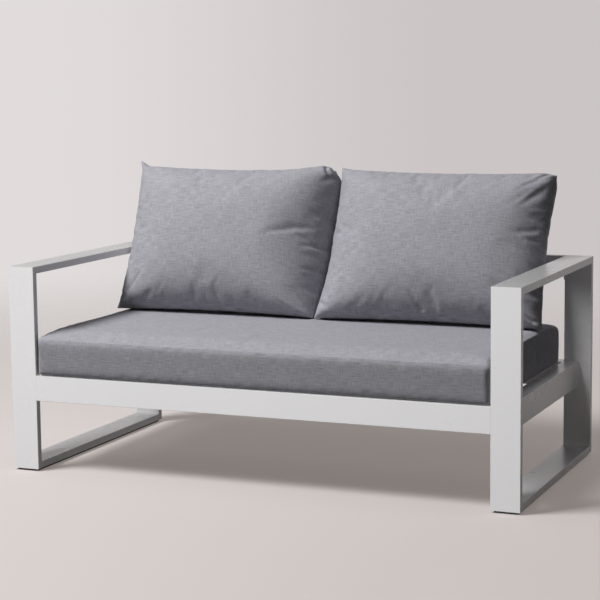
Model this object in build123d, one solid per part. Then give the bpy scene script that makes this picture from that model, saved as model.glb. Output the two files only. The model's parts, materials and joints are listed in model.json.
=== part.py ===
"""Patio loveseat: a sled-based aluminium frame with one seat cushion and two loose back cushions.

Millimetres. X runs across the seat, the front faces -Y, and Z is up. The origin is on the floor
under the middle of the frame.
"""

import os
from math import cos, radians, sin

from build123d import *

os.makedirs("parts", exist_ok=True)

# Whole frame
WIDTH = 1500.0
DEPTH = 760.0
ARM_TOP = 586.0

# Flat tube of the two side frames, and the glide strip under each runner
BAND_WIDE = 80.0
BAND_THIN = 20.0
BAND_WALL = 2.0
BAND_ROUND = 1.2
GLIDE_THICK = 6.0
GLIDE_INSET = 6.0
GLIDE_END_ROUND = 8.0

# Seat rails
RAIL_TALL = 72.0
RAIL_DEEP = 45.0
RAIL_WALL = 2.0
RAIL_ROUND = 1.2
SEAT_RAIL_TOP = 277.0

# Seat slats and the ledges that they lie on
SLAT_COUNT = 8
SLAT_WIDE = 60.0
SLAT_THICK = 15.0
SLAT_WALL = 1.5
SLAT_ROUND = 1.0
SLAT_END_CLEAR = 0.4
LEDGE_REACH = 25.0
LEDGE_DROP = 20.0
LEDGE_THICK = 3.0
LEDGE_END_CLEAR = 0.5

# Back: a top rail at arm height, with posts in front of it
TOP_RAIL_TALL = 40.0
POST_COUNT = 6
POST_WIDE = 40.0
POST_DEEP = 25.0
POST_PITCH = 205.0
POST_CAP = 3.0
POST_CAP_PLUG = 12.0
POST_CAP_FIT = 0.2
PLUG_R = 7.0
PLUG_LONG = 5.0
PLUG_FIT = 0.2

# Plates and cleats that tie the rails to the side frames
PLATE_REACH = 118.0
PLATE_THICK = 3.0
PLATE_MARGIN = 3.0
CLEAT_REACH = 30.0
CLEAT_THICK = 3.0
CLEAT_MARGIN = 1.0

# Fasteners
ROD_SIDES = 8
SCREW_R = 3.0
SCREW_CLEAR = 0.25
SCREW_HEAD_R = 5.5
SCREW_HEAD_TALL = 3.2
SCREW_BITE = 9.0
GLIDE_HEAD_TALL = 2.6

# Seat cushion
SEAT_PAD_TALL = 104.0
SEAT_PAD_CROWN = 20.0
SEAT_PAD_FRONT_GAP = 2.0
SEAT_PAD_REAR_GAP = 18.0
SEAT_PAD_SIDE_GAP = 6.5
SEAT_FRONT_BOW_SHARE = 0.001
SEAT_SIDE_BOW_SHARE = 0.007
SEAT_PAD_CORNER = 24.0
SEAT_COVER_THICK = 12.0

# Back cushions
BACK_PAD_TALL = 466.0
BACK_PAD_LEAN = 23.3
BACK_PAD_GAP = 5.0
BACK_PAD_SIDE_GAP = 1.2
BACK_PAD_FRONT = 84.0
BACK_PAD_REAR = 160.0
BACK_PAD_EDGE = 7.0
BACK_BOW_SHARE = -0.014
BACK_PAD_EAR = 16.0
BACK_PAD_SEAM_SETBACK = 228.0
BACK_PAD_SEAM_RISE = 3.0
BACK_COVER_THICK = 10.0

# Gap between a soft piece and what it rests on
REST_GAP = 0.3
# Extra length of a cut past the face that it leaves
OVERRUN = 1.0

# Places that several pieces share
FRONT = -DEPTH / 2
REAR = DEPTH / 2
OUTER = WIDTH / 2
INNER = OUTER - BAND_WIDE
RUNNER_BOTTOM = GLIDE_THICK
ARM_BOTTOM = ARM_TOP - BAND_THIN
LEG_BACK = FRONT + BAND_THIN
REAR_LEG_FRONT = REAR - BAND_THIN
SEAT_RAIL_BOTTOM = SEAT_RAIL_TOP - RAIL_TALL
REAR_RAIL_FRONT = REAR - RAIL_DEEP
SIDE_RAIL_OUTER = INNER + RAIL_DEEP
LEDGE_TOP = SEAT_RAIL_TOP - SLAT_THICK
TOP_RAIL_BOTTOM = ARM_TOP - TOP_RAIL_TALL
TOP_RAIL_MIDDLE = ARM_TOP - TOP_RAIL_TALL / 2
POST_FRONT = REAR_LEG_FRONT - POST_DEEP
HOLE_R = SCREW_R + SCREW_CLEAR
SEAT_PAD_DEPTH = POST_FRONT - SEAT_PAD_REAR_GAP - FRONT - SEAT_PAD_FRONT_GAP
SEAT_PAD_BOTTOM = SEAT_RAIL_TOP + REST_GAP
SEAT_PAD_TOP = SEAT_PAD_BOTTOM + SEAT_PAD_TALL + SEAT_PAD_CROWN

SIDES = (("left", -1), ("right", 1))
ENDS = (("front", -1), ("rear", 1))


def save(name, shape):
    """Write one piece under its own name."""
    shape.label = name
    export_step(shape, f"parts/{name}.step")


def block(low, high):
    """A plain box between two opposite corners."""
    sizes = [b - a for a, b in zip(low, high)]
    centre = [(a + b) / 2 for a, b in zip(low, high)]
    return Pos(*centre) * Box(*sizes)


def bar(axis, low, high, wall, corner):
    """A hollow bar along one axis that fills the box from low to high, open at both ends."""
    x, y, z = [(a + b) / 2 for a, b in zip(low, high)]
    wide, deep, tall = [b - a for a, b in zip(low, high)]
    if axis == "X":
        start, a, b, length = Plane((low[0], y, z), (0, 1, 0), (1, 0, 0)), deep, tall, wide
    elif axis == "Y":
        start, a, b, length = Plane((x, low[1], z), (1, 0, 0), (0, 1, 0)), wide, tall, deep
    else:
        start, a, b, length = Plane((x, y, low[2]), (1, 0, 0), (0, 0, 1)), wide, deep, tall
    section = RectangleRounded(a, b, corner) - Rectangle(a - 2 * wall, b - 2 * wall)
    return extrude(start * section, length)


def rod(at, along, radius, length):
    """A rod that starts at a point and runs along a direction, with few sides because it is small."""
    return extrude(Plane(at, z_dir=along) * RegularPolygon(radius, ROD_SIDES), length)


def screw(at, along, grip, head=SCREW_HEAD_TALL):
    """A hex-head screw: its head sits on the face at this point, its shank runs along."""
    back = tuple(-c for c in along)
    hexagon = Plane(at, z_dir=back) * RegularPolygon(SCREW_HEAD_R, 6)
    return extrude(hexagon, head) + rod(at, along, SCREW_R, grip)


def hole(at, along, depth):
    """The clearance hole for a screw that enters at this point."""
    start = tuple(p - OVERRUN * c for p, c in zip(at, along))
    return rod(start, along, HOLE_R, depth + OVERRUN)


def mirror_x(shape, side):
    """The piece as drawn on the right, or its mirror image on the left."""
    return shape if side > 0 else mirror(shape, Plane.YZ)


def cut_all(shape, cutters):
    """One shape less a list of cutters."""
    for cutter in cutters:
        shape = shape - cutter
    return shape


# Screw places, each a point on the face under the screw's head and the way the shank runs


def plate_screws(side, end):
    """Four places under a corner plate: two up into the cross rail, two into the side rail."""
    inset = PLATE_MARGIN + SCREW_HEAD_R + OVERRUN
    face = SEAT_RAIL_BOTTOM - PLATE_THICK
    cross_y = REAR_RAIL_FRONT + RAIL_DEEP / 2 - BAND_THIN / 2
    corner_y = REAR_LEG_FRONT - PLATE_REACH
    side_x = INNER + RAIL_DEEP / 2
    places = [
        (INNER - PLATE_REACH / 2 + inset, cross_y),
        (INNER - inset, cross_y),
        (side_x, corner_y + inset),
        (side_x, corner_y + PLATE_REACH / 2),
    ]
    return [((side * x, end * y, face), (0, 0, 1)) for x, y in places]


def slat_places():
    """The middle of each seat slat across the seat."""
    pitch = 2 * INNER / SLAT_COUNT
    return [(i + 1 / 2) * pitch - INNER for i in range(SLAT_COUNT)]


def slat_screws(x):
    """One place at each end of a slat, under the ledge."""
    inward = REAR_RAIL_FRONT - (LEDGE_THICK + LEDGE_REACH) / 2
    return [((x, end * inward, LEDGE_TOP - LEDGE_THICK), (0, 0, 1)) for _, end in ENDS]


def post_places():
    """The middle of each back post across the seat."""
    return [(i - (POST_COUNT - 1) / 2) * POST_PITCH for i in range(POST_COUNT)]


def post_screw(x):
    """One place behind each post, inside the top rail on its front wall."""
    return (x, REAR_LEG_FRONT + BAND_WALL, TOP_RAIL_MIDDLE), (0, -1, 0)


def post_plug(x, radius, length):
    """The way in for a post's screw, through the top rail's rear wall."""
    return rod((x, REAR, TOP_RAIL_MIDDLE), (0, -1, 0), radius, length)


def cleat_screws(side):
    """Two places on a cleat: up into the top rail, and out into the rear leg."""
    middle = REAR - BAND_THIN / 2
    reach = (CLEAT_THICK + CLEAT_REACH) / 2
    up = ((side * (INNER - reach), middle, TOP_RAIL_BOTTOM - CLEAT_THICK), (0, 0, 1))
    out = ((side * (INNER - CLEAT_THICK), middle, TOP_RAIL_BOTTOM - reach), (side, 0, 0))
    return [up, out]


def glide_screws(side):
    """Three places along a glide strip, each at the foot of its counterbore."""
    x = side * (OUTER - BAND_WIDE / 2)
    run = REAR - BAND_THIN - BAND_WIDE / 2
    return [((x, y, GLIDE_HEAD_TALL + OVERRUN), (0, 0, 1)) for y in (-run, 0, run)]


def cut_holes(shape, places, depth):
    """A piece with the holes for its screws."""
    return cut_all(shape, [hole(at, along, depth) for at, along in places])


# Side frames: four flat tubes mitred into a closed loop, with a rail across at seat height


def mitre(shape, corner_y, corner_z, slope, keep):
    """Cut a tube's end at 45 degrees through the loop's outer corner."""
    cut = Plane((0, corner_y, corner_z), x_dir=(1, 0, 0), z_dir=(0, 1, slope))
    return split(shape, bisect_by=cut, keep=keep)


def leg(end):
    """A front or rear leg, its wide face to the front, mitred at both ends."""
    y = end * DEPTH / 2
    low = (INNER, min(y, y - end * BAND_THIN), RUNNER_BOTTOM)
    high = (OUTER, max(y, y - end * BAND_THIN), ARM_TOP)
    shape = bar("Z", low, high, BAND_WALL, BAND_ROUND)
    outward = Keep.TOP if end > 0 else Keep.BOTTOM
    shape = mitre(shape, y, ARM_TOP, -end, outward)
    return mitre(shape, y, RUNNER_BOTTOM, end, outward)


def flat_bar(bottom, corner_z, slope):
    """The arm or the runner: a flat tube from front to rear, mitred at both ends."""
    low = (INNER, FRONT, bottom)
    high = (OUTER, REAR, bottom + BAND_THIN)
    shape = bar("Y", low, high, BAND_WALL, BAND_ROUND)
    shape = mitre(shape, FRONT, corner_z, slope, Keep.TOP)
    return mitre(shape, REAR, corner_z, -slope, Keep.BOTTOM)


def glide_strip(side):
    """The black strip that the runner slides on, with a counterbore for each screw."""
    wide = BAND_WIDE - 2 * GLIDE_INSET
    long = DEPTH - 2 * GLIDE_INSET
    outline = Pos(side * (OUTER - BAND_WIDE / 2), 0) * RectangleRounded(wide, long, GLIDE_END_ROUND)
    strip = cut_holes(extrude(outline, GLIDE_THICK), glide_screws(side), GLIDE_THICK)
    sinks = [
        rod((at[0], at[1], -OVERRUN), along, SCREW_HEAD_R + SCREW_CLEAR, at[2] + OVERRUN)
        for at, along in glide_screws(side)
    ]
    return cut_all(strip, sinks)


def side_rail(side):
    """The seat rail of one side frame, between its two legs."""
    low = (INNER, LEG_BACK, SEAT_RAIL_BOTTOM)
    high = (SIDE_RAIL_OUTER, REAR_LEG_FRONT, SEAT_RAIL_TOP)
    shape = mirror_x(bar("Y", low, high, RAIL_WALL, RAIL_ROUND), side)
    places = plate_screws(side, -1)[2:] + plate_screws(side, 1)[2:]
    return cut_holes(shape, places, PLATE_THICK + RAIL_WALL + OVERRUN)


for name, side in SIDES:
    runner = flat_bar(RUNNER_BOTTOM, RUNNER_BOTTOM, -1)
    rear_leg = mirror_x(leg(1), side)
    save(f"front_leg_{name}", mirror_x(leg(-1), side))
    save(f"rear_leg_{name}", cut_holes(rear_leg, cleat_screws(side)[1:], CLEAT_THICK + BAND_WALL + OVERRUN))
    save(f"arm_{name}", mirror_x(flat_bar(ARM_BOTTOM, ARM_TOP, 1), side))
    save(f"runner_{name}", cut_holes(mirror_x(runner, side), glide_screws(side), GLIDE_THICK))
    save(f"side_rail_{name}", side_rail(side))
    save(f"glide_strip_{name}", glide_strip(side))


# Cross rails between the side frames


def seat_rail(end):
    """The front or rear seat rail, flush with the legs and as long as the gap between them."""
    y = end * DEPTH / 2
    inside = y - end * RAIL_DEEP
    low = (-INNER, min(y, inside), SEAT_RAIL_BOTTOM)
    high = (INNER, max(y, inside), SEAT_RAIL_TOP)
    places = plate_screws(-1, end)[:2] + plate_screws(1, end)[:2]
    rail = bar("X", low, high, RAIL_WALL, RAIL_ROUND)
    return cut_holes(rail, places, PLATE_THICK + RAIL_WALL + OVERRUN)


def top_rail():
    """The back's top rail, level with the arms."""
    low = (-INNER, REAR_LEG_FRONT, TOP_RAIL_BOTTOM)
    high = (INNER, REAR, ARM_TOP)
    rail = bar("X", low, high, BAND_WALL, BAND_ROUND)
    rail = cut_holes(rail, [post_screw(x) for x in post_places()], BAND_WALL + OVERRUN)
    rail = cut_all(rail, [post_plug(x, PLUG_R + PLUG_FIT, PLUG_LONG) for x in post_places()])
    ups = [cleat_screws(side)[0] for _, side in SIDES]
    return cut_holes(rail, ups, CLEAT_THICK + BAND_WALL + OVERRUN)


save("front_seat_rail", seat_rail(-1))
save("rear_seat_rail", seat_rail(1))
save("back_top_rail", top_rail())


# Seat: ledges on the cross rails, with slats across from front to rear


def seat_ledge(end):
    """An angle along a cross rail's inner face, its flat leg level with the slats' undersides."""
    inside = end * REAR_RAIL_FRONT
    points = [
        (inside, LEDGE_TOP),
        (inside - end * LEDGE_REACH, LEDGE_TOP),
        (inside - end * LEDGE_REACH, LEDGE_TOP - LEDGE_THICK),
        (inside - end * LEDGE_THICK, LEDGE_TOP - LEDGE_THICK),
        (inside - end * LEDGE_THICK, LEDGE_TOP - LEDGE_DROP),
        (inside, LEDGE_TOP - LEDGE_DROP),
    ]
    half = INNER - LEDGE_END_CLEAR
    section = make_face(Polyline(*points, close=True))
    start = Plane((-half, 0, 0), x_dir=(0, 1, 0), z_dir=(1, 0, 0))
    places = [slat_screws(x)[0 if end < 0 else 1] for x in slat_places()]
    return cut_holes(extrude(start * section, 2 * half), places, LEDGE_THICK + OVERRUN)


def seat_slat(x):
    """A flat tube across the seat, its ends just clear of the rails."""
    half = REAR_RAIL_FRONT - SLAT_END_CLEAR
    low = (x - SLAT_WIDE / 2, -half, LEDGE_TOP)
    high = (x + SLAT_WIDE / 2, half, SEAT_RAIL_TOP)
    slat = bar("Y", low, high, SLAT_WALL, SLAT_ROUND)
    return cut_holes(slat, slat_screws(x), LEDGE_THICK + SLAT_WALL + OVERRUN)


for name, end in ENDS:
    save(f"seat_ledge_{name}", seat_ledge(end))
for i, x in enumerate(slat_places(), 1):
    save(f"seat_slat_{i}", seat_slat(x))


# Back posts, standing on the rear seat rail and screwed to the top rail


def back_post(x):
    """A post between the rear seat rail and the top rail, open at its top for the cap."""
    low = (x - POST_WIDE / 2, POST_FRONT, SEAT_RAIL_TOP)
    high = (x + POST_WIDE / 2, REAR_LEG_FRONT, ARM_TOP - POST_CAP)
    post = bar("Z", low, high, BAND_WALL, BAND_ROUND)
    return cut_holes(post, [post_screw(x)], 2 * BAND_WALL + OVERRUN)


def post_cap(x):
    """A cap over a post's open top, with a plug inside it."""
    y = (POST_FRONT + REAR_LEG_FRONT) / 2
    wide = POST_WIDE - 2 * (BAND_WALL + POST_CAP_FIT)
    deep = POST_DEEP - 2 * (BAND_WALL + POST_CAP_FIT)
    lid = extrude(RectangleRounded(POST_WIDE, POST_DEEP, BAND_ROUND), POST_CAP)
    plug = extrude(Rectangle(wide, deep), -POST_CAP_PLUG)
    return Pos(x, y, ARM_TOP - POST_CAP) * (lid + plug)


for i, x in enumerate(post_places(), 1):
    save(f"back_post_{i}", back_post(x))
save("back_post_caps", Compound(children=[post_cap(x) for x in post_places()]))
save("top_rail_plugs", Compound(children=[
    post_plug(x, PLUG_R, PLUG_LONG) for x in post_places()]))


# Plates under the seat's corners, and cleats under the ends of the top rail


def corner_plate(side, end):
    """A gusset under a corner of the seat, clear of the leg."""
    near = REAR_LEG_FRONT - PLATE_MARGIN
    wide = SIDE_RAIL_OUTER - PLATE_MARGIN
    tip = INNER - PLATE_REACH / 2
    points = [
        (tip, near),
        (wide, near),
        (wide, REAR_LEG_FRONT - PLATE_REACH),
        (INNER + PLATE_MARGIN, REAR_LEG_FRONT - PLATE_REACH),
        (tip, REAR_RAIL_FRONT + PLATE_MARGIN),
    ]
    outline = make_face(Polyline(*[(side * x, end * y) for x, y in points], close=True))
    plate = Pos(0, 0, SEAT_RAIL_BOTTOM - PLATE_THICK) * extrude(outline, PLATE_THICK, dir=(0, 0, 1))
    return cut_holes(plate, plate_screws(side, end), PLATE_THICK + OVERRUN)


def rail_cleat(side):
    """An angle in the corner under the top rail's end and against the rear leg."""
    low_y = REAR_LEG_FRONT + CLEAT_MARGIN
    high_y = REAR - CLEAT_MARGIN
    flat_low = (INNER - CLEAT_REACH, low_y, TOP_RAIL_BOTTOM - CLEAT_THICK)
    upright_low = (INNER - CLEAT_THICK, low_y, TOP_RAIL_BOTTOM - CLEAT_REACH)
    corner = (INNER, high_y, TOP_RAIL_BOTTOM)
    cleat = mirror_x(block(flat_low, corner) + block(upright_low, corner), side)
    return cut_holes(cleat, cleat_screws(side), CLEAT_THICK + OVERRUN)


plate_bolts = []
for name, side in SIDES:
    for end_name, end in ENDS:
        save(f"corner_plate_{end_name}_{name}", corner_plate(side, end))
        plate_bolts += [screw(*place, SCREW_BITE) for place in plate_screws(side, end)]
    save(f"rail_cleat_{name}", rail_cleat(side))

save("corner_plate_screws", Compound(children=plate_bolts))
save("rail_cleat_screws", Compound(children=[
    screw(*place, SCREW_BITE) for _, side in SIDES for place in cleat_screws(side)]))
save("seat_slat_screws", Compound(children=[
    screw(*place, SCREW_BITE) for x in slat_places() for place in slat_screws(x)]))
save("back_post_screws", Compound(children=[
    screw(*post_screw(x), SCREW_BITE) for x in post_places()]))
save("glide_strip_screws", Compound(children=[
    screw(*place, SCREW_BITE, GLIDE_HEAD_TALL) for _, side in SIDES for place in glide_screws(side)]))


# Cushions: each is a stack of outlines, small at the crowns and full at the widest level


def pad_side(start, end, outward, bow_share):
    """The points along one side, bowed out by a share of its length, or in by a negative share."""
    bow = bow_share * abs(end[0] - start[0] + end[1] - start[1])
    points = []
    for share in SIDE_SHARES:
        out = 4 * share * (1 - share) * bow
        points.append(tuple(a + share * (b - a) + out * c for a, b, c in zip(start, end, outward)))
    return points


def pad_outline(wide, deep, corner, wide_bow_share, deep_bow_share):
    """Four bowed sides and four rounded corners in short straight runs, parallel at every level."""
    x, y = wide / 2, deep / 2
    bend = corner * CORNER_ARC_SHARE
    return [
        *pad_side((-x + corner, -y), (x - corner, -y), (0, -1), wide_bow_share),
        (x - bend, -y + bend),
        *pad_side((x, -y + corner), (x, y - corner), (1, 0), deep_bow_share),
        (x - bend, y - bend),
        *pad_side((x - corner, y), (-x + corner, y), (0, 1), wide_bow_share),
        (-x + bend, y - bend),
        *pad_side((-x, y - corner), (-x, -y + corner), (-1, 0), deep_bow_share),
        (-x + bend, -y + bend),
    ]


def flat(points):
    """A flat face with these corners."""
    return make_face(Polyline(*points, close=True))


def stack(plane, levels):
    """A solid with a skin of flat faces up through outlines, each given as its height and sizes."""
    rings = []
    for height, *sizes in levels:
        level = plane.offset(height)
        rings.append([level.from_local_coords((x, y, 0)) for x, y in pad_outline(*sizes)])
    faces = [flat(rings[0]), flat(rings[-1])]
    for low, high in zip(rings, rings[1:]):
        faces += [flat((low[i - 1], low[i], high[i], high[i - 1])) for i in range(len(low))]
    return Solid(Shell(faces)).fix()


# Where a quarter circle's middle lies, as a share of its radius
CORNER_ARC_SHARE = 1 - 2 ** -0.5
# Ends of the straight runs along a side, as shares of its length
SIDE_SHARES = (0.0, 0.2, 0.5, 0.8, 1.0)

# Seat cushion levels: share of the side's height, share of the crown, inset as a share of the depth
SEAT_LEVEL_SHARES = (
    (0.0, 0.0, 0.014),
    (0.03, 0.0, 0.005),
    (0.10, 0.0, 0.0),
    (0.88, 0.0, 0.0),
    (0.97, 0.0, 0.005),
    (1.0, 0.20, 0.025),
    (1.0, 0.62, 0.11),
    (1.0, 0.92, 0.26),
    (1.0, 1.0, 0.38),
)
# Back cushion levels: share of the bulge, inset as a share of the height
BACK_LEVEL_SHARES = (
    (0.0, 0.0),
    (0.30, 0.035),
    (0.62, 0.105),
    (0.86, 0.21),
    (0.97, 0.31),
    (1.0, 0.39),
)


def seat_form(shrink):
    """The seat cushion's outer form, or the space inside its cover when shrunk."""
    wide = 2 * (INNER - SEAT_PAD_SIDE_GAP - shrink)
    deep = SEAT_PAD_DEPTH - 2 * shrink
    side_tall = SEAT_PAD_TALL - 2 * shrink
    levels = []
    for side_share, crown_share, inset_share in SEAT_LEVEL_SHARES:
        inset = 2 * inset_share * deep
        height = side_share * side_tall + crown_share * SEAT_PAD_CROWN
        bows = (SEAT_FRONT_BOW_SHARE, SEAT_SIDE_BOW_SHARE)
        levels.append((height, wide - inset, deep - inset, SEAT_PAD_CORNER, *bows))
    middle_y = FRONT + SEAT_PAD_FRONT_GAP + SEAT_PAD_DEPTH / 2
    return stack(Plane((0, middle_y, SEAT_PAD_BOTTOM + shrink)), levels)


def back_plane(side):
    """The seam plane of one back cushion, from the middle of the cushion, facing forward."""
    lean = radians(BACK_PAD_LEAN)
    centre_x = side * (BACK_PAD_GAP / 2 + back_width() / 2)
    half = BACK_PAD_TALL / 2
    origin = (
        centre_x,
        POST_FRONT - BACK_PAD_SEAM_SETBACK + half * sin(lean),
        SEAT_PAD_TOP + REST_GAP + BACK_PAD_SEAM_RISE + half * cos(lean),
    )
    return Plane(origin, x_dir=(1, 0, 0), z_dir=(0, -cos(lean), sin(lean)))


def back_width():
    """The width of one back cushion: half the space between the arms, less the gaps."""
    return INNER - BACK_PAD_SIDE_GAP - BACK_PAD_GAP / 2


def back_levels(direction, bulge, shrink):
    """The levels of one half of a back cushion, from its seam edge out to its crown."""
    wide, tall = back_width() - 2 * shrink, BACK_PAD_TALL - 2 * shrink
    edge = BACK_PAD_EDGE / 2
    levels = []
    for bulge_share, inset_share in BACK_LEVEL_SHARES:
        inset = 2 * inset_share * tall
        height = direction * (edge + bulge_share * (bulge - shrink - edge))
        bows = (BACK_BOW_SHARE, BACK_BOW_SHARE)
        levels.append((height, wide - inset, tall - inset, BACK_PAD_EAR, *bows))
    return levels


def back_form(side, shrink):
    """A back cushion: two crowned halves on a thin seam edge, flat where it meets the posts."""
    rear = back_levels(-1, BACK_PAD_REAR, shrink)
    front = back_levels(1, BACK_PAD_FRONT, shrink)
    rear_stop = POST_FRONT - REST_GAP - shrink
    floor = SEAT_PAD_TOP + REST_GAP + shrink
    space = block((-WIDTH, -DEPTH, floor), (WIDTH, rear_stop, floor + 2 * ARM_TOP))
    return stack(back_plane(side), rear[::-1] + front) & space


seat_foam_gap = SEAT_COVER_THICK + REST_GAP
save("seat_cushion_cover", seat_form(0) - seat_form(SEAT_COVER_THICK))
save("seat_cushion_foam", seat_form(seat_foam_gap))
back_fill_gap = BACK_COVER_THICK + REST_GAP
for name, side in SIDES:
    save(f"back_cushion_cover_{name}", back_form(side, 0) - back_form(side, BACK_COVER_THICK))
    save(f"back_cushion_fill_{name}", back_form(side, back_fill_gap))
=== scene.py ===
"""Patio loveseat: the frame in light grey powder coat, a boxed seat cushion and two knife-edge back
cushions in heathered grey woven polyester.

Metres. X runs across the seat, the front faces -Y, and Z is up. The origin is on the floor under the
middle of the frame.
"""

import json
import math
import random

import bmesh
import bpy
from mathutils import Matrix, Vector
from mathutils.bvhtree import BVHTree


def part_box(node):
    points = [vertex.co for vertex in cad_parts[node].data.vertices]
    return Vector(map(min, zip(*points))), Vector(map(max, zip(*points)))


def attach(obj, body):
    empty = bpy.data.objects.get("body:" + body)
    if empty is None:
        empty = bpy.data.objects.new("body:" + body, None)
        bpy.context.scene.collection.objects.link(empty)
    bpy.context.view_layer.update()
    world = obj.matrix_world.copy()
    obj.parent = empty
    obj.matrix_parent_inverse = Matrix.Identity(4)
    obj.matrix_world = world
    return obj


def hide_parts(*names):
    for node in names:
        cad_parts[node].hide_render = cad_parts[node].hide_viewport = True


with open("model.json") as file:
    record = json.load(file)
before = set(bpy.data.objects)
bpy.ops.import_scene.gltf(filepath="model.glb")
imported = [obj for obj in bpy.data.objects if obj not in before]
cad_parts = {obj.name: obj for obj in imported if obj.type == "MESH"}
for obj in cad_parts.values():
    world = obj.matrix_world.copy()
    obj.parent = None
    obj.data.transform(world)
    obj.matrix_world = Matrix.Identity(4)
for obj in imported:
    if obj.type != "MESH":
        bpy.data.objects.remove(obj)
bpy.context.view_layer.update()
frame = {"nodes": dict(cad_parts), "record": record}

# The camera of the photograph
CAMERA_PLACE = (1.9546, -4.6216, 1.1548)
CAMERA_TURN_DEGREES = (82.748, 0.474, 22.046)
CAMERA_LENS_MM = 105.7
CAMERA_SHIFT = (-0.05, -0.025)

# Lamps, all large and soft: which way each stands from the object, its watts and its size in metres.
# As in a studio, the pale frame and the dark cushions each have lamps flagged off the other, and the
# rear lamp lights everything
LAMP_DISTANCE = 6.5
CUSHION_LAMP = ((-0.42, -0.42, 0.80), 442.0, 2.2)
FRAME_LAMP = ((-0.20, -0.83, 0.55), 320.0, 2.6)
FRAME_SIDE_LAMP = ((0.93, -0.25, 0.20), 6.0, 2.6)
REAR_LAMP = ((0.02, 0.95, 0.30), 125.0, 3.0)
SKY_STRENGTH = 0.06

# The floor's size, and how far out it stays solid before it fades into the backdrop
FLOOR_SIZE = 60.0
FLOOR_SOLID_RADIUS = 1.3
FLOOR_FADE_RADIUS = 5.0

# The way, from the front view's middle, in which the backdrop gets lighter
BACKDROP_LIGHT_SIDE = (-0.927, -0.375, 0.0)

# Seat cushion
SEAT_CLOTH_STEP = 0.011
SEAT_EDGE_STEPS = (0.0, 0.004, 0.008, 0.012, 0.017, 0.024, 0.033)
SEAT_CORNER = 0.018
SEAT_TOP_ROUND = 0.016
SEAT_FOOT_ROUND = 0.009
SEAT_SIDE_TALL = 0.107
SEAT_CROWN = 0.0167
# How gently its cloth bends where the slats and its own limits hold it
SEAT_FOOT_BEND = 0.002
SEAT_TOP_BEND = 0.004

# Back cushions
BACK_LEAN_DEGREES = 23.3
BACK_TALL = 0.466
BACK_SEAM_FOOT_Y = 0.107
BACK_SEAM_RISE = 0.003
BACK_FRONT_BULGE = 0.108
BACK_REAR_BULGE = 0.165
BACK_DRAW_IN = 0.009
BACK_FULLEST_SHARE = 0.12
# How square the panels' swell is: across, over its fullest line and under it
BACK_WIDE_SQUARENESS = 3.0
BACK_HEAD_SQUARENESS = 2.6
BACK_FOOT_SQUARENESS = 2.25
BACK_CORNER_SOFTNESS = 1.25
# How far the seam lies back at each cushion's left and right side, half way up
LEFT_SIDES_SET_BACK = (0.0, 0.060)
RIGHT_SIDES_SET_BACK = (0.032, -0.018)
SIDES_SET_BACK_POWER = 6
# Creases fade out over this distance from the seam
CREASE_SEAM_FADE = 0.006
# Near a corner, at this height over the seam, the cloth is smoothed within this reach, this many times
BACK_CORNER_OUT = 0.02
BACK_CORNER_EASE = 0.065
BACK_CORNER_ROUNDS = 16
# How far the filling sinks near the foot, and over what share of the half height
BACK_SAG = 0.030
BACK_SAG_SHARE = 0.4
# The cushions meet along a line that leans over towards the left at its foot
BACK_MEETING_LEAN = 0.020
BACK_MEETING_BOW = 0.009
BACK_MEETING_HEIGHT = 0.13
BACK_MEETING_GAP = 0.0008
# Share of the usual draw-in on the side towards the other cushion
BACK_MEETING_DRAW_SHARE = 0.1
# How gently the cloth bends where it is pressed on the seat, on the posts and on the other cushion
BACK_SEAT_BEND = 0.006
BACK_POST_BEND = 0.012
BACK_MEETING_BEND = 0.003
BACK_ACROSS_STEPS = 104
BACK_UP_STEPS = 80

def deselect_all():
    """Nothing stays selected, so that the next operator acts on its own piece alone."""
    bpy.ops.object.select_all(action="DESELECT")


def linear(hex_code):
    """A colour written as sRGB hex, as the linear colour that a socket takes."""
    values = [int(hex_code[i:i + 2], 16) / 255 for i in (0, 2, 4)]
    parts = [v / 12.92 if v <= 0.04045 else ((v + 0.055) / 1.055) ** 2.4 for v in values]
    return (*parts, 1.0)


def add(tree, kind, sockets=None, **settings):
    """Adds a node. Settings are its properties, and sockets are values or the outputs they link from."""
    made = tree.nodes.new(kind)
    for key, value in settings.items():
        setattr(made, key, value)
    for key, value in (sockets or {}).items():
        if isinstance(value, bpy.types.NodeSocket):
            tree.links.new(value, made.inputs[key])
        else:
            made.inputs[key].default_value = value
    return made


def new_material(name):
    """A named material with its node tree and its shader."""
    material = bpy.data.materials.new(name)
    material.use_nodes = True
    return material, material.node_tree, material.node_tree.nodes["Principled BSDF"]


def per_mm(size_mm):
    """A texture scale, in repeats to the metre, for a pattern of this size."""
    return 1000.0 / size_mm


# Materials


def powder_coated_aluminium():
    """Sprayed powder, baked: an even satin skin with a faint orange peel and slight tone drift."""
    material, tree, shader = new_material("powder_coated_aluminium")
    place = add(tree, "ShaderNodeTexCoord").outputs["Object"]
    drift = add(tree, "ShaderNodeTexNoise", {"Vector": place, "Scale": per_mm(260), "Detail": 3.0})
    tone = add(tree, "ShaderNodeMix", {
        "Factor": drift.outputs["Fac"], "A": linear("F0EFEF"), "B": linear("EAE9EA")}, data_type="RGBA")
    tree.links.new(tone.outputs["Result"], shader.inputs["Base Color"])
    # The real peel is about 1 mm across; it is drawn at 2.5 mm so that it shows
    peel = add(tree, "ShaderNodeTexNoise", {"Vector": place, "Scale": per_mm(2.5), "Detail": 2.0})
    bump = add(tree, "ShaderNodeBump", {
        "Height": peel.outputs["Fac"], "Strength": 0.25, "Distance": 0.00012})
    tree.links.new(bump.outputs["Normal"], shader.inputs["Normal"])
    polish = add(tree, "ShaderNodeMapRange", {
        "Value": drift.outputs["Fac"], "To Min": 0.24, "To Max": 0.32})
    tree.links.new(polish.outputs["Result"], shader.inputs["Roughness"])
    return material


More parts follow.
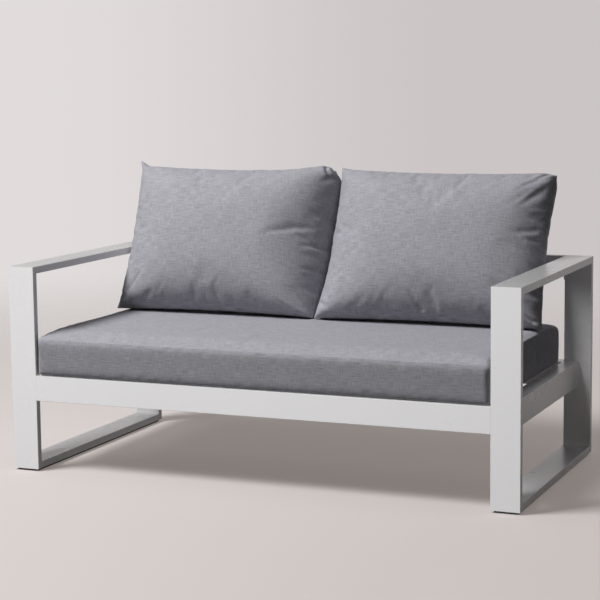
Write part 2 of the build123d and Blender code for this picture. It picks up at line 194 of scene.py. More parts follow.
def moulded_nylon():
    """Black injection-moulded nylon: dull, with a fine spark-eroded grain."""
    material, tree, shader = new_material("moulded_black_nylon")
    place = add(tree, "ShaderNodeTexCoord").outputs["Object"]
    grain = add(tree, "ShaderNodeTexNoise", {"Vector": place, "Scale": per_mm(0.9), "Detail": 2.0})
    tone = add(tree, "ShaderNodeMix", {
        "Factor": grain.outputs["Fac"], "A": linear("1C1C1D"), "B": linear("262627")}, data_type="RGBA")
    tree.links.new(tone.outputs["Result"], shader.inputs["Base Color"])
    bump = add(tree, "ShaderNodeBump", {
        "Height": grain.outputs["Fac"], "Strength": 0.4, "Distance": 0.0001})
    tree.links.new(bump.outputs["Normal"], shader.inputs["Normal"])
    shader.inputs["Roughness"].default_value = 0.55
    return material


def stainless_steel():
    """Cold-headed stainless steel: bright, with a fine tumbled texture."""
    material, tree, shader = new_material("stainless_steel")
    place = add(tree, "ShaderNodeTexCoord").outputs["Object"]
    tumble = add(tree, "ShaderNodeTexNoise", {"Vector": place, "Scale": per_mm(0.7), "Detail": 3.0})
    tone = add(tree, "ShaderNodeMix", {
        "Factor": tumble.outputs["Fac"], "A": linear("BDBBB6"), "B": linear("CFCDC9")}, data_type="RGBA")
    tree.links.new(tone.outputs["Result"], shader.inputs["Base Color"])
    polish = add(tree, "ShaderNodeMapRange", {
        "Value": tumble.outputs["Fac"], "To Min": 0.26, "To Max": 0.40})
    tree.links.new(polish.outputs["Result"], shader.inputs["Roughness"])
    shader.inputs["Metallic"].default_value = 1.0
    return material


def woven_polyester():
    """Plain-woven outdoor polyester: light and dark yarns mixed, so that short streaks run both ways."""
    material, tree, shader = new_material("woven_polyester")
    cloth = add(tree, "ShaderNodeUVMap", uv_map="cloth").outputs["UV"]
    streaks = []
    # Slubs are under 1 mm wide in the real cloth; they are drawn 2 mm wide so that they show
    for along, across in ((34.0, 2.0), (2.0, 24.0)):
        stretched = add(tree, "ShaderNodeVectorMath", {
            0: cloth, 1: (per_mm(along), per_mm(across), 1.0)}, operation="MULTIPLY")
        streaks.append(add(tree, "ShaderNodeTexNoise", {
            "Vector": stretched.outputs["Vector"], "Scale": 1.0, "Detail": 3.0, "Roughness": 0.6}))
    mixed = add(tree, "ShaderNodeMath", {
        0: streaks[1].outputs["Fac"], 1: 0.8, 2: streaks[0].outputs["Fac"]}, operation="MULTIPLY_ADD")
    yarns = add(tree, "ShaderNodeMapRange", {
        "Value": mixed.outputs["Value"], "From Min": 0.67, "From Max": 1.13})
    wide = add(tree, "ShaderNodeVectorMath", {
        0: cloth, 1: (per_mm(90), per_mm(90), 1.0)}, operation="MULTIPLY")
    drift = add(tree, "ShaderNodeTexNoise", {
        "Vector": wide.outputs["Vector"], "Scale": 1.0, "Detail": 2.0})
    blend = add(tree, "ShaderNodeMath", {
        0: drift.outputs["Fac"], 1: 0.24, 2: yarns.outputs["Result"]}, operation="MULTIPLY_ADD")
    level = add(tree, "ShaderNodeMapRange", {
        "Value": blend.outputs["Value"], "From Min": 0.06, "From Max": 1.18})
    tone = add(tree, "ShaderNodeMix", {
        "Factor": level.outputs["Result"], "A": linear("8A8990"), "B": linear("B2B1B8")},
        data_type="RGBA")
    tree.links.new(tone.outputs["Result"], shader.inputs["Base Color"])
    # The real threads are 0.5 mm apart; they are drawn at 1.6 mm so that they show close up
    threads = []
    for direction in ("X", "Y"):
        threads.append(add(tree, "ShaderNodeTexWave", {
            "Vector": cloth, "Scale": per_mm(1.6) / (2 * math.pi), "Distortion": 1.2,
            "Detail": 1.0, "Detail Scale": 2.0}, bands_direction=direction))
    weave = add(tree, "ShaderNodeMath", {
        0: threads[0].outputs["Fac"], 1: threads[1].outputs["Fac"]}, operation="MULTIPLY")
    height = add(tree, "ShaderNodeMath", {
        0: yarns.outputs["Result"], 1: weave.outputs["Value"]}, operation="ADD")
    bump = add(tree, "ShaderNodeBump", {
        "Height": height.outputs["Value"], "Strength": 0.35, "Distance": 0.0004})
    tree.links.new(bump.outputs["Normal"], shader.inputs["Normal"])
    shader.inputs["Roughness"].default_value = 0.92
    shader.inputs["Specular IOR Level"].default_value = 0.2
    shader.inputs["Sheen Weight"].default_value = 0.03
    shader.inputs["Sheen Roughness"].default_value = 0.5
    return material


FINISHES = {
    "aluminium_frame": powder_coated_aluminium(),
    "black_trim": moulded_nylon(),
    "screws": stainless_steel(),
    "cushion_fabric": woven_polyester(),
    "cushion_filling": None,
}


def finish_frame_nodes():
    """Each rigid node takes the finish of its slot."""
    for part in frame["record"]["subparts"]:
        finish = FINISHES[part["material_slot"]]
        if finish is not None:
            for slot in frame["nodes"][part["node"]].material_slots:
                slot.material = finish


finish_frame_nodes()


# Cushions


def soft_stop(value, stop, width):
    """A value kept from passing under a stop, with a bend of this width where it meets it."""
    above = value - stop
    if above >= width:
        return value
    if above <= -width:
        return stop
    return stop + (above + width) ** 2 / (4 * width)


def cloth_piece(name, build):
    """A piece whose mesh is filled by a function, with normals outward and smooth shading."""
    mesh = bpy.data.meshes.new(name)
    shape = bmesh.new()
    build(shape)
    bmesh.ops.recalc_face_normals(shape, faces=shape.faces)
    if shape.calc_volume(signed=True) < 0:
        bmesh.ops.reverse_faces(shape, faces=shape.faces)
    shape.to_mesh(mesh)
    shape.free()
    piece = bpy.data.objects.new(name, mesh)
    bpy.context.scene.collection.objects.link(piece)
    mesh.shade_smooth()
    mesh.materials.append(FINISHES["cushion_fabric"])
    return piece


def pin(piece, indices):
    """A vertex group of the stitches that hold still while the cushion fills."""
    group = piece.vertex_groups.new(name="stitches")
    group.add(indices, 1.0, "REPLACE")
    return group.name


# The cloth in the simulation: a light, fairly stiff weave
CLOTH_SETTINGS = {
    "quality": 6,
    "mass": 0.3,
    "tension_stiffness": 12.0,
    "compression_stiffness": 12.0,
    "shear_stiffness": 4.0,
    "bending_stiffness": 0.4,
}
CLOTH_FRAMES = 20


def fill(piece, stitches, pressure, slack, cap):
    """The cloth swells with its filling: a short simulation, with each point's travel capped."""
    start = [v.co.copy() for v in piece.data.vertices]
    cloth = piece.modifiers.new("filling", "CLOTH")
    settings = cloth.settings
    for name, value in CLOTH_SETTINGS.items():
        setattr(settings, name, value)
    settings.shrink_min = -slack
    settings.use_pressure = True
    settings.uniform_pressure_force = pressure
    settings.vertex_group_mass = stitches
    settings.effector_weights.gravity = 0.0
    cloth.collision_settings.use_collision = False
    for step in range(1, CLOTH_FRAMES + 1):
        bpy.context.scene.frame_set(step)
    filled = piece.evaluated_get(bpy.context.evaluated_depsgraph_get()).data
    ends = [v.co.copy() for v in filled.vertices]
    piece.modifiers.remove(cloth)
    bpy.context.scene.frame_set(1)
    for vertex, a, b in zip(piece.data.vertices, start, ends):
        travel = b - a
        if travel.length > cap:
            travel *= cap / travel.length
        vertex.co = a + travel


def smooth_finish(piece):
    """One subdivision, applied."""
    deselect_all()
    piece.select_set(True)
    bpy.context.view_layer.objects.active = piece
    rounding = piece.modifiers.new("rounding", "SUBSURF")
    rounding.levels = 1
    rounding.render_levels = 1
    bpy.ops.object.modifier_apply(modifier=rounding.name)
    piece.select_set(False)


SEAM_CRISPNESS = 0.75


def crease_edges(piece, rings):
    """A seam's edges stay crisp when the piece is subdivided."""
    marked = [set(ring) for ring in rings]
    layer = piece.data.attributes.new("crease_edge", "FLOAT", "EDGE")
    for edge in piece.data.edges:
        a, b = edge.vertices
        if any(a in ring and b in ring for ring in marked):
            layer.data[edge.index].value = SEAM_CRISPNESS


RELAX_SHARE = 0.6
RELAX_LEAST_WEIGHT = 0.02


def relax(piece, held, spots, reach, rounds):
    """Near some spots the cloth gives way, so that no ridge is left there. Held points stay."""
    shape = bmesh.new()
    shape.from_mesh(piece.data)
    held = set(held)
    near = []
    for vertex in shape.verts:
        if vertex.index not in held:
            weight = sum(math.exp(-((vertex.co - spot).length / reach) ** 2) for spot in spots)
            if weight > RELAX_LEAST_WEIGHT:
                others = [edge.other_vert(vertex) for edge in vertex.link_edges]
                near.append((vertex, RELAX_SHARE * min(1.0, weight), others))
    for _ in range(rounds):
        moved = [
            vertex.co.lerp(sum((other.co for other in others), Vector()) / len(others), weight)
            for vertex, weight, others in near]
        for (vertex, _, _), place in zip(near, moved):
            vertex.co = place
    shape.to_mesh(piece.data)
    shape.free()


# Back cushions


def edge_even(share):
    """Spreads the rows of a back cushion so that they lie closer towards its seam."""
    return 0.4 * share + 0.6 * math.sin(share * math.pi / 2)


def roll(share, sharpness):
    """How far a panel stands out: 1 at its middle, 0 at its seam, which it meets square on."""
    return math.sqrt(max(0.0, 1 - abs(share) ** sharpness))


def swell(across, up):
    """How full a back cushion is, from 1 on its fullest line to 0 at its seam."""
    wide = roll(across, BACK_WIDE_SQUARENESS)
    if up > BACK_FULLEST_SHARE:
        tall = roll((up - BACK_FULLEST_SHARE) / (1 - BACK_FULLEST_SHARE), BACK_HEAD_SQUARENESS)
    else:
        tall = roll((BACK_FULLEST_SHARE - up) / (1 + BACK_FULLEST_SHARE), BACK_FOOT_SQUARENESS)
    # Towards a corner both fall together, with no ridge along its diagonal
    a, b = wide ** BACK_CORNER_SOFTNESS, tall ** BACK_CORNER_SOFTNESS
    both = a + b - a * b
    return wide * tall / both ** (1 / BACK_CORNER_SOFTNESS) if both > 1e-9 else 0.0


# Creases that the photograph shows, pressed in after the cushion is filled. Each has its deep end, at
# the seam, and its shallow end, as shares of the half width and half height, then its depth and its
# half width in metres
LEFT_CREASE_SHARES = (
    ((0.99, -0.05), (0.80, -0.13), 0.0070, 0.006),
    ((0.98, -0.20), (0.82, -0.24), 0.0030, 0.008),
    ((0.99, -0.37), (0.84, -0.40), 0.0060, 0.006),
    ((0.98, -0.66), (0.86, -0.60), 0.0040, 0.008),
    ((0.97, 0.30), (0.80, 0.36), 0.0030, 0.012),
    ((0.89, 0.99), (0.95, 0.80), 0.0070, 0.007),
    ((0.99, 0.84), (0.88, 0.72), 0.0040, 0.008),
    ((0.00, 0.97), (-0.13, 0.80), 0.0035, 0.008),
    ((-0.38, 0.98), (-0.42, 0.90), 0.0030, 0.006),
    ((-0.06, -0.95), (-0.03, -0.72), 0.0030, 0.007),
    ((-0.25, -0.96), (-0.21, -0.80), 0.0045, 0.006),
    ((0.20, -0.96), (0.22, -0.84), 0.0030, 0.006),
    ((0.45, -0.96), (0.47, -0.84), 0.0030, 0.006),
    ((-0.50, -0.96), (-0.49, -0.86), 0.0030, 0.006),
    ((-0.75, -0.96), (-0.72, -0.84), 0.0030, 0.006),
    ((-0.97, -0.80), (-0.84, -0.88), 0.0050, 0.007),
    ((-0.98, -0.42), (-0.88, -0.36), 0.0025, 0.008),
)
RIGHT_CREASE_SHARES = (
    ((-0.03, -0.90), (-0.12, -0.66), 0.0080, 0.006),
    ((-0.60, -0.95), (-0.61, -0.82), 0.0040, 0.005),
    ((-0.37, -0.95), (-0.38, -0.84), 0.0030, 0.005),
    ((0.25, -0.95), (0.24, -0.84), 0.0030, 0.005),
    ((0.48, -0.95), (0.50, -0.85), 0.0030, 0.006),
    ((0.93, 0.98), (0.86, 0.86), 0.0060, 0.007),
    ((0.98, 0.06), (0.84, 0.02), 0.0060, 0.007),
    ((0.97, 0.30), (0.82, 0.36), 0.0030, 0.012),
    ((0.98, -0.62), (0.86, -0.58), 0.0040, 0.008),
    ((0.95, -0.92), (0.84, -0.80), 0.0070, 0.008),
    ((-0.98, -0.78), (-0.85, -0.86), 0.0050, 0.007),
    ((-0.02, 0.98), (-0.05, 0.90), 0.0030, 0.006),
    ((-0.60, 0.98), (-0.57, 0.91), 0.0020, 0.006),
)
# How the corners depart from a plain outline, as the photograph shows them: which corner, how far it
# moves sideways and up, and how far along the seam that is felt, in metres
LEFT_CORNERS = (
    (-1, 1, -0.012, 0.016, 0.015),
    (1, 1, 0.0, 0.012, 0.120),
    (1, 1, -0.013, -0.019, 0.026),
    (-1, -1, -0.005, 0.0, 0.022),
)
RIGHT_CORNERS = (
    (-1, 1, 0.0, 0.004, 0.020),
    (1, 1, -0.004, -0.009, 0.026),
    (1, -1, 0.004, 0.0, 0.025),
)
# Small gathers round the seam: how many to a side, over what share of it, their length as a share of the
# half size, and how far each leans, how deep it is and how wide, in metres
PUCKERS_PER_SIDE = 17
PUCKER_SPAN = 0.9
PUCKER_REACH = (0.03, 0.11)
PUCKER_LEAN = 0.02
PUCKER_DEPTH = (0.0003, 0.0018)
PUCKER_WIDTH = (0.005, 0.009)
PUCKER_START = 0.99
# A crease has a groove and, at this many half widths from it, a low ridge of this share of its depth
CREASE_RIDGE_AT = 1.5
CREASE_RIDGE_SHARE = 0.35
CREASE_ENDS_AT = 2.6
CREASE_FADE_POWER = 0.6


def puckers(seed):
    """Small gathers all round the seam, uneven in place, length and depth."""
    draw = random.Random(seed)
    made = []
    for index in range(4 * PUCKERS_PER_SIDE):
        side, place = divmod(index, PUCKERS_PER_SIDE)
        along = -PUCKER_SPAN + 2 * PUCKER_SPAN * (place + draw.uniform(0.1, 0.9)) / PUCKERS_PER_SIDE
        reach = draw.uniform(*PUCKER_REACH)
        lean = along + draw.uniform(-PUCKER_LEAN, PUCKER_LEAN)
        depth = draw.uniform(*PUCKER_DEPTH)
        width = draw.uniform(*PUCKER_WIDTH)
        ends = (along, PUCKER_START), (lean, PUCKER_START - reach)
        if side % 2:
            ends = [(b, a) for a, b in ends]
        if side > 1:
            ends = [(-a, -b) for a, b in ends]
        made.append((*ends, depth, width))
    return made


def crease_depth(across, up, creases, half_wide, half_tall):
    """How far the surface sinks at one place, in metres."""
    sunk = 0.0
    here = Vector((across * half_wide, up * half_tall))
    for start, end, depth, width in creases:
        a = Vector((start[0] * half_wide, start[1] * half_tall))
        run = Vector((end[0] * half_wide, end[1] * half_tall)) - a
        along = max(0.0, min(1.0, (here - a).dot(run) / run.length_squared))
        off = (here - a - run * along).length / width
        if off < CREASE_ENDS_AT:
            ridge = CREASE_RIDGE_SHARE * math.exp(-((off - CREASE_RIDGE_AT) ** 2))
            sunk += depth * (1 - along) ** CREASE_FADE_POWER * (math.exp(-off * off) - ridge)
    return sunk


def press_creases(piece, front, creases, half_wide, half_tall):
    """Presses the creases into the front panel, along its normals and less towards the seam."""
    normals = [v.normal.copy() for v in piece.data.vertices]
    for index, across, up in front:
        to_seam = min((1 - abs(across)) * half_wide, (1 - abs(up)) * half_tall)
        sunk = crease_depth(across, up, creases, half_wide, half_tall)
        piece.data.vertices[index].co -= normals[index] * (sunk * min(1.0, to_seam / CREASE_SEAM_FADE))


def back_cushion(side_name, side, sides_set_back, crease_shares, corners, seed):
    """A knife-edge cushion: a front and a rear panel, sewn together round a drawn-in outline."""
    low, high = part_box(f"back_cushion_cover_{side_name}")
    half_wide = (high[0] - low[0]) / 2
    half_tall = BACK_TALL / 2
    lean = math.radians(BACK_LEAN_DEGREES)
    up_way = Vector((0.0, math.sin(lean), math.cos(lean)))
    out_way = Vector((0.0, -math.cos(lean), math.sin(lean)))
    foot = Vector(((low[0] + high[0]) / 2, BACK_SEAM_FOOT_Y, low[2] + BACK_SEAM_RISE))
    middle = foot + up_way * half_tall
    gathers = puckers(seed)
    faces_front = {}
    columns = [edge_even(2 * i / BACK_ACROSS_STEPS - 1) for i in range(BACK_ACROSS_STEPS + 1)]
    rows = [edge_even(2 * j / BACK_UP_STEPS - 1) for j in range(BACK_UP_STEPS + 1)]
    seam, front = [], []

    def put(shape, across, up, bulge):
        """One point of a panel, in the cushion's own plane and then in the room."""
        # The side towards the other cushion is pressed against it, and draws in less
        draw_in = BACK_DRAW_IN if across * side > 0 else BACK_MEETING_DRAW_SHARE * BACK_DRAW_IN
        wide = across * (half_wide - draw_in * (1 - up * up))
        tall = up * (half_tall - BACK_DRAW_IN * (1 - across * across))
        for edge_x, edge_y, sideways, upward, reach in corners:
            off = math.hypot((across - edge_x) * half_wide, (up - edge_y) * half_tall) / reach
            wide += sideways * math.exp(-off * off)
            tall += upward * math.exp(-off * off)
        if across * side < 0:
            wide -= abs(across) ** 3 * meeting_lean((1 + up) * half_tall)
        full = swell(across, up)
        out = bulge * full
        out -= sides_set_back[across > 0] * (1 - up * up) * across ** SIDES_SET_BACK_POWER
        if bulge > 0:
            out -= min(full * 3, 1.0) * crease_depth(across, up, gathers, half_wide, half_tall)
            tall -= BACK_SAG * full * math.exp(-((up + 1) / BACK_SAG_SHARE) ** 2)
        vertex = shape.verts.new(middle + Vector((wide, 0, 0)) + up_way * tall + out_way * out)
        return vertex, (wide, tall)

    def build(shape):
        cloth = shape.loops.layers.uv.new("cloth")
        edge, places = {}, {}
        for bulge in (BACK_FRONT_BULGE, -BACK_REAR_BULGE):
            grid = {}
            for i, across in enumerate(columns):
                for j, up in enumerate(rows):
                    on_seam = i in (0, BACK_ACROSS_STEPS) or j in (0, BACK_UP_STEPS)
                    if on_seam and (i, j) in edge:
                        grid[i, j] = edge[i, j]
                        continue
                    vertex, place = put(shape, across, up, bulge)
                    if bulge > 0 and not on_seam:
                        faces_front[vertex] = (across, up)
                    grid[i, j] = vertex
                    places[vertex] = place
                    if on_seam:
                        edge[i, j] = vertex
            for i in range(BACK_ACROSS_STEPS):
                for j in range(BACK_UP_STEPS):
                    ring = [grid[i, j], grid[i + 1, j], grid[i + 1, j + 1], grid[i, j + 1]]
                    face = shape.faces.new(ring if bulge > 0 else ring[::-1])
                    for loop in face.loops:
                        loop[cloth].uv = places[loop.vert]
        shape.verts.index_update()
        seam.extend(v.index for v in edge.values())
        front.extend((v.index, *shares) for v, shares in faces_front.items())

    piece = cloth_piece(f"back_cushion_{side_name}", build)
    fill(piece, pin(piece, seam), pressure=4.0, slack=0.012, cap=0.022)
    spots = [
        middle + Vector((edge_x * half_wide, 0, 0)) + up_way * edge_y * half_tall
        + out_way * BACK_CORNER_OUT
        for edge_x in (-1, 1) for edge_y in (-1, 1)]
    relax(piece, seam, spots, BACK_CORNER_EASE, BACK_CORNER_ROUNDS)
    press_creases(piece, front, crease_shares, half_wide, half_tall)
    rest_on(piece, low, high)
    crease_edges(piece, [seam])
    smooth_finish(piece)
    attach(piece, f"back_cushion_{side_name}")
    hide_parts(f"back_cushion_cover_{side_name}", f"back_cushion_fill_{side_name}")
    return piece


def meeting_lean(height):
    """How far to the left the cushions meet, at a height over the seat."""
    foot = BACK_MEETING_LEAN * math.exp(-(height / BACK_MEETING_HEIGHT) ** 2)
    return foot + BACK_MEETING_BOW * math.exp(-((height - BACK_TALL / 2) / BACK_MEETING_HEIGHT) ** 2)


def rest_on(piece, low, high):
    """The cushion is pressed flat on the seat, on the posts and where it meets the other one."""
    to_right = high[0] > -low[0]
    for vertex in piece.data.vertices:
        place = vertex.co
        place.z = soft_stop(place.z, low[2], BACK_SEAT_BEND)
        place.y = -soft_stop(-place.y, -high[1], BACK_POST_BEND)
        meeting = -meeting_lean(place.z - low[2])
        if to_right:
            place.x = soft_stop(place.x, meeting + BACK_MEETING_GAP, BACK_MEETING_BEND)
        else:
            place.x = -soft_stop(-place.x, BACK_MEETING_GAP - meeting, BACK_MEETING_BEND)


# Seat cushion


def edge_dense(half):
    """Places from one side of the seat cushion to the other, close together where its edges curve."""
    inner = half - SEAT_EDGE_STEPS[-1]
    count = round(2 * inner / SEAT_CLOTH_STEP)
    places = [-half + step for step in SEAT_EDGE_STEPS]
    places += [-inner + 2 * inner * i / count for i in range(1, count)]
    return places + [-place for place in places[len(SEAT_EDGE_STEPS) - 1::-1]]


def rounded(place, half_wide, half_deep):
    """Moves a point of a plain box onto the same box with its edges and corners rounded."""
    x, y, z = place
    tall = SEAT_SIDE_TALL
    round_z = SEAT_TOP_ROUND if z > tall / 2 else SEAT_FOOT_ROUND
    core = Vector((
        max(-half_wide + SEAT_CORNER, min(half_wide - SEAT_CORNER, x)),
        max(-half_deep + SEAT_CORNER, min(half_deep - SEAT_CORNER, y)),
        max(SEAT_FOOT_ROUND, min(tall - SEAT_TOP_ROUND, z))))
    radii = (SEAT_CORNER, SEAT_CORNER, round_z)
    off = Vector([(a - b) / r for a, b, r in zip(place, core, radii)])
    # Squared, a corner of the plain box lies at (1, 1, 1); it moves in onto the ball round the core
    reach = max(abs(v) for v in off)
    if off.length < 1e-9:
        return place
    off = off.normalized() * reach
    return core + Vector([v * r for v, r in zip(off, radii)])


def seat_crown(y, half_deep):
    """How far the top panel stands over its seam."""
    along = min(1.0, abs(y / half_deep))
    return SEAT_CROWN * (1 - along ** 4) ** 0.8


def seat_cushion():
    """A boxed cushion: a crowned top panel, a flat bottom panel and a band between two seams."""
    low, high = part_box("seat_cushion_cover")
    half_wide, half_deep = (high[0] - low[0]) / 2, (high[1] - low[1]) / 2
    middle = Vector(((low[0] + high[0]) / 2, (low[1] + high[1]) / 2, low[2]))
    xs, ys = edge_dense(half_wide), edge_dense(half_deep)
    last_x, last_y = len(xs) - 1, len(ys) - 1
    levels = [0.0, 0.005, 0.010] + [0.020 + 0.060 * k / 6 for k in range(7)]
    levels += [SEAT_SIDE_TALL - step for step in (0.016, 0.012, 0.008, 0.004, 0.0)]
    top = len(levels) - 1
    seams = []

    def put(shape, x, y, z):
        """One point of the cushion, rounded, and crowned on top."""
        place = rounded(Vector((x, y, z)), half_wide, half_deep)
        place.z += seat_crown(place.y, half_deep) * (place.z / SEAT_SIDE_TALL) ** 3
        return shape.verts.new(middle + place)

    def build(shape):
        cloth = shape.loops.layers.uv.new("cloth")
        grid = {}
        for level in (0, top):
            for i, x in enumerate(xs):
                for j, y in enumerate(ys):
                    grid[i, j, level] = put(shape, x, y, levels[level])
        ring = [(i, 0) for i in range(last_x)] + [(last_x, j) for j in range(last_y)]
        ring += [(i, last_y) for i in range(last_x, 0, -1)] + [(0, j) for j in range(last_y, 0, -1)]
        for level in range(1, top):
            for i, j in ring:
                grid[i, j, level] = put(shape, xs[i], ys[j], levels[level])
        for level in (0, top):
            for i in range(last_x):
                for j in range(last_y):
                    corners = [(i, j), (i + 1, j), (i + 1, j + 1), (i, j + 1)]
                    face = shape.faces.new([grid[a, b, level] for a, b in corners])
                    for loop, (a, b) in zip(face.loops, corners):
                        loop[cloth].uv = (xs[a], ys[b])
        lengths = [0.0]
        for (a, b), (c, d) in zip(ring, ring[1:] + ring[:1]):
            lengths.append(lengths[-1] + math.hypot(xs[c] - xs[a], ys[d] - ys[b]))
        for k, start in enumerate(ring):
            end = ring[(k + 1) % len(ring)]
            for level in range(top):
                face = shape.faces.new([
                    grid[*start, level], grid[*end, level],
                    grid[*end, level + 1], grid[*start, level + 1]])
                along = (lengths[k], lengths[k + 1], lengths[k + 1], lengths[k])
                for loop, length, rise in zip(face.loops, along, (0, 0, 1, 1)):
                    loop[cloth].uv = (length, levels[level + rise])
        shape.verts.index_update()
        for level in (0, top):
            seams.append([grid[i, j, level].index for i, j in ring])

    piece = cloth_piece("seat_cushion", build)
    fill(piece, pin(piece, seams[0] + seams[1]), pressure=2.0, slack=0.004, cap=0.008)
    for vertex in piece.data.vertices:
        vertex.co.z = soft_stop(vertex.co.z, low[2], SEAT_FOOT_BEND)
        vertex.co.z = -soft_stop(-vertex.co.z, -high[2], SEAT_TOP_BEND)
        vertex.co.y = soft_stop(vertex.co.y, low[1], SEAT_FOOT_BEND)
    smooth_finish(piece)
    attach(piece, "seat_cushion")
    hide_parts("seat_cushion_cover", "seat_cushion_foam")
    return piece


# The zip in the rear band of the seat cushion

ZIP_HALF_LONG = 0.540
ZIP_TAPE_TALL = 0.022
ZIP_TAPE_SUNK = 0.0006
ZIP_TAPE_BENDS = 90
ZIP_BEND_STEP = 0.012
ZIP_END = 0.006
ZIP_TOOTH_PITCH = 0.004
ZIP_TOOTH_LONG = 0.0026
ZIP_TOOTH_TALL = 0.0056
ZIP_PROUD = 0.0012
# Two corners and the easing of each loose part, from the zip's left end on the cushion's rear
ZIP_SLIDER = (0.010, ZIP_PROUD, -0.0055), (0.022, 0.0046, 0.0055), 0.0015
ZIP_BRIDGE = (0.012, 0.0042, -0.0015), (0.020, 0.0064, 0.0015), 0.0006
ZIP_PULL = (0.0125, 0.0020, -0.0300), (0.0195, 0.0038, 0.0010), 0.0006


def block(low, high, edge):
    """A block between two corners, with its edges eased, in place and with its mesh at the origin."""
    deselect_all()
    middle = [(a + b) / 2 for a, b in zip(low, high)]
    bpy.ops.mesh.primitive_cube_add(size=1, location=middle, scale=[b - a for a, b in zip(low, high)])
    made = bpy.context.object
    bpy.ops.object.transform_apply(location=True, rotation=True, scale=True)
    easing = made.modifiers.new("easing", "BEVEL")
    easing.width = edge
    easing.segments = 2
    bpy.ops.object.modifier_apply(modifier=easing.name)
    return made


def cut_across(piece, places):
    """Cuts a closed piece across at each of these places in x, so that it can bend."""
    shape = bmesh.new()
    shape.from_mesh(piece.data)
    for x in places:
        whole = [*shape.verts, *shape.edges, *shape.faces]
        bmesh.ops.bisect_plane(shape, geom=whole, plane_co=(x, 0, 0), plane_no=(1, 0, 0))
    shape.to_mesh(piece.data)
    shape.free()


def lay_on_rear(piece, cushion, rear):
    """Moves a piece made against the plane y = rear onto the cushion's own rear band."""
    cloth = BVHTree.FromPolygons(
        [vertex.co for vertex in cushion.data.vertices],
        [face.vertices for face in cushion.data.polygons])
    for vertex in piece.data.vertices:
        start = Vector((vertex.co.x, rear + 0.05, vertex.co.z))
        place = cloth.ray_cast(start, Vector((0, -1, 0)))[0]
        if place:
            vertex.co.y += place.y - rear


def seat_zip(cushion):
    """A coil zip: its tape sewn flat, its teeth in a row, and its slider with a pull at the left end."""
    low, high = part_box("seat_cushion_cover")
    rear = high[1]
    height = low[2] + SEAT_SIDE_TALL / 2
    tape = block(
        (-ZIP_HALF_LONG, rear - ZIP_TAPE_SUNK, height - ZIP_TAPE_TALL / 2),
        (ZIP_HALF_LONG, rear + ZIP_PROUD, height + ZIP_TAPE_TALL / 2), 0.0004)
    cut_across(tape, [-ZIP_HALF_LONG + ZIP_BEND_STEP * k for k in range(1, ZIP_TAPE_BENDS)])
    start = -ZIP_HALF_LONG + ZIP_END
    tooth = block(
        (start, rear + ZIP_PROUD - 0.0002, height - ZIP_TOOTH_TALL / 2),
        (start + ZIP_TOOTH_LONG, rear + ZIP_PROUD + 0.0012, height + ZIP_TOOTH_TALL / 2), 0.0005)
    row = tooth.modifiers.new("row", "ARRAY")
    row.use_relative_offset = False
    row.use_constant_offset = True
    row.constant_offset_displace = (ZIP_TOOTH_PITCH, 0.0, 0.0)
    row.count = int((2 * ZIP_HALF_LONG - 2 * ZIP_END) / ZIP_TOOTH_PITCH)
    bpy.ops.object.modifier_apply(modifier=row.name)
    corner = (-ZIP_HALF_LONG, rear, height)
    loose = [
        block([a + b for a, b in zip(corner, start)], [a + b for a, b in zip(corner, end)], easing)
        for start, end, easing in (ZIP_SLIDER, ZIP_BRIDGE, ZIP_PULL)]
    deselect_all()
    for made in (tape, tooth, *loose):
        made.select_set(True)
    bpy.context.view_layer.objects.active = tape
    bpy.ops.object.join()
    tape.name = tape.data.name = "seat_cushion_zip"
    tape.data.materials.clear()
    tape.data.materials.append(FINISHES["black_trim"])
    lay_on_rear(tape, cushion, rear)
    deselect_all()
    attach(tape, "seat_cushion")
    return tape


seat = seat_cushion()
cushions = [
    seat,
    seat_zip(seat),
    back_cushion("left", -1, LEFT_SIDES_SET_BACK, LEFT_CREASE_SHARES, LEFT_CORNERS, seed=3),
    back_cushion("right", 1, RIGHT_SIDES_SET_BACK, RIGHT_CREASE_SHARES, RIGHT_CORNERS, seed=8),
]


# The stage


def seen_rays(tree):
    """1 for what the eye sees, straight, in a reflection or through glass, and 0 for light."""
    rays = add(tree, "ShaderNodeLightPath").outputs
    seen = add(tree, "ShaderNodeMath", {
        0: rays["Is Camera Ray"], 1: rays["Is Glossy Ray"]}, operation="MAXIMUM")
    return add(tree, "ShaderNodeMath", {
        0: seen.outputs["Value"], 1: rays["Is Transmission Ray"]}, operation="MAXIMUM").outputs["Value"]


def floor():
    """A pale floor that fades into the backdrop and lights the object's underside only a little."""
    deselect_all()
    bpy.ops.mesh.primitive_plane_add(size=FLOOR_SIZE)
    ground = bpy.context.object
    ground.name = "floor"
    material, tree, shader = new_material("pale_floor")
    seen = seen_rays(tree)
    tone = add(tree, "ShaderNodeMix", {
        "Factor": seen, "A": linear("605D5B"), "B": linear("B4AFAE")}, data_type="RGBA")
    tree.links.new(tone.outputs["Result"], shader.inputs["Base Color"])
    # To the eye the shadow is light, as on a floor in a bright room
    shader.inputs["Emission Color"].default_value = linear("7A736F")
    tree.links.new(seen, shader.inputs["Emission Strength"])
    shader.inputs["Roughness"].default_value = 1.0
    shader.inputs["Specular IOR Level"].default_value = 0.0
    place = add(tree, "ShaderNodeTexCoord").outputs["Object"]
    away = add(tree, "ShaderNodeVectorMath", {0: place}, operation="LENGTH").outputs["Value"]
    fade = add(tree, "ShaderNodeMapRange", {
        "Value": away, "From Min": FLOOR_SOLID_RADIUS, "From Max": FLOOR_FADE_RADIUS},
        interpolation_type="SMOOTHSTEP")
    clear = add(tree, "ShaderNodeBsdfTransparent")
    mixed = add(tree, "ShaderNodeMixShader", {
        0: fade.outputs["Result"], 1: shader.outputs["BSDF"], 2: clear.outputs["BSDF"]})
    output = tree.nodes["Material Output"]
    tree.links.new(mixed.outputs["Shader"], output.inputs["Surface"])
    ground.data.materials.append(material)
    return ground


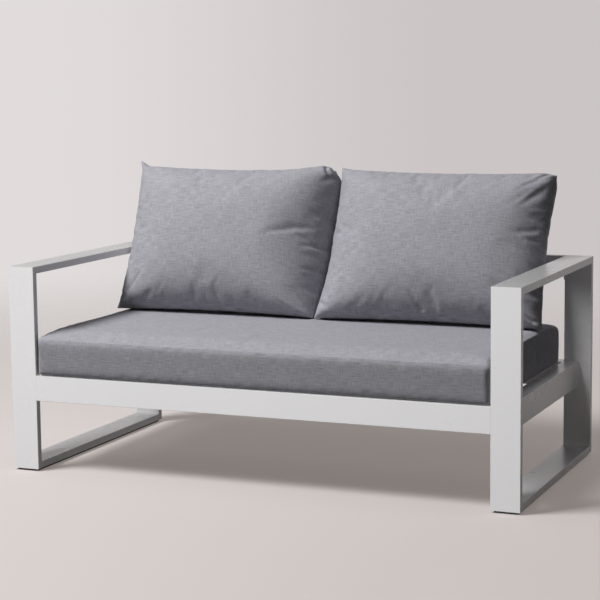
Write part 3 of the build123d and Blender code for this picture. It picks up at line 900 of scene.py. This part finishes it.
def backdrop():
    """The room around: pale to the eye and in reflections, faint as a light."""
    world = bpy.data.worlds.new("backdrop")
    world.use_nodes = True
    tree = world.node_tree
    tree.nodes.clear()
    seen = seen_rays(tree)
    # The wall is a little lighter towards the left of the front view
    way = add(tree, "ShaderNodeTexCoord").outputs["Generated"]
    leftness = add(tree, "ShaderNodeVectorMath", {
        0: way, 1: BACKDROP_LIGHT_SIDE}, operation="DOT_PRODUCT")
    share = add(tree, "ShaderNodeMapRange", {
        "Value": leftness.outputs["Value"], "From Min": -0.08, "From Max": 0.17},
        interpolation_type="SMOOTHSTEP")
    shade = add(tree, "ShaderNodeMix", {
        "Factor": share.outputs["Result"], "A": linear("CBC5C5"), "B": linear("E1DCDB")},
        data_type="RGBA")
    pale = add(tree, "ShaderNodeBackground", {"Color": shade.outputs["Result"], "Strength": 1.0})
    faint = add(tree, "ShaderNodeBackground", {"Color": linear("FFFFFF"), "Strength": SKY_STRENGTH})
    mixed = add(tree, "ShaderNodeMixShader", {
        0: seen, 1: faint.outputs["Background"], 2: pale.outputs["Background"]})
    add(tree, "ShaderNodeOutputWorld", {"Surface": mixed.outputs["Shader"]})
    bpy.context.scene.world = world


def lamp(name, setup, lit=(), glossy=True):
    """A large soft lamp, aimed at the object. Where lit is given, it is flagged off all else."""
    way, watts, size = setup
    way = Vector(way).normalized()
    data = bpy.data.lights.new(name, "AREA")
    data.shape = "SQUARE"
    data.size = size
    data.energy = watts
    shone = bpy.data.objects.new(name, data)
    shone.location = way * LAMP_DISTANCE
    shone.rotation_mode = "QUATERNION"
    shone.rotation_quaternion = way.to_track_quat("Z", "Y")
    shone.visible_glossy = glossy
    bpy.context.scene.collection.objects.link(shone)
    if lit:
        receivers = bpy.data.collections.new(name)
        for piece in lit:
            receivers.objects.link(piece)
        shone.light_linking.receiver_collection = receivers


def camera():
    """The photograph's viewpoint."""
    data = bpy.data.cameras.new("camera")
    data.lens = CAMERA_LENS_MM
    data.sensor_width = 36.0
    data.shift_x, data.shift_y = CAMERA_SHIFT
    eye = bpy.data.objects.new("camera", data)
    eye.location = CAMERA_PLACE
    eye.rotation_euler = [math.radians(a) for a in CAMERA_TURN_DEGREES]
    bpy.context.scene.collection.objects.link(eye)
    bpy.context.scene.camera = eye


ground = floor()
backdrop()
frame_nodes = [
    frame["nodes"][part["node"]] for part in frame["record"]["subparts"]
    if FINISHES[part["material_slot"]] and part["material_slot"] != "cushion_fabric"]
lamp("cushion_lamp", CUSHION_LAMP, [*cushions, ground])
lamp("frame_lamp", FRAME_LAMP, frame_nodes)
lamp("frame_side_lamp", FRAME_SIDE_LAMP, frame_nodes)
lamp("rear_lamp", REAR_LAMP, glossy=False)
camera()
bpy.context.scene.view_settings.view_transform = "Standard"
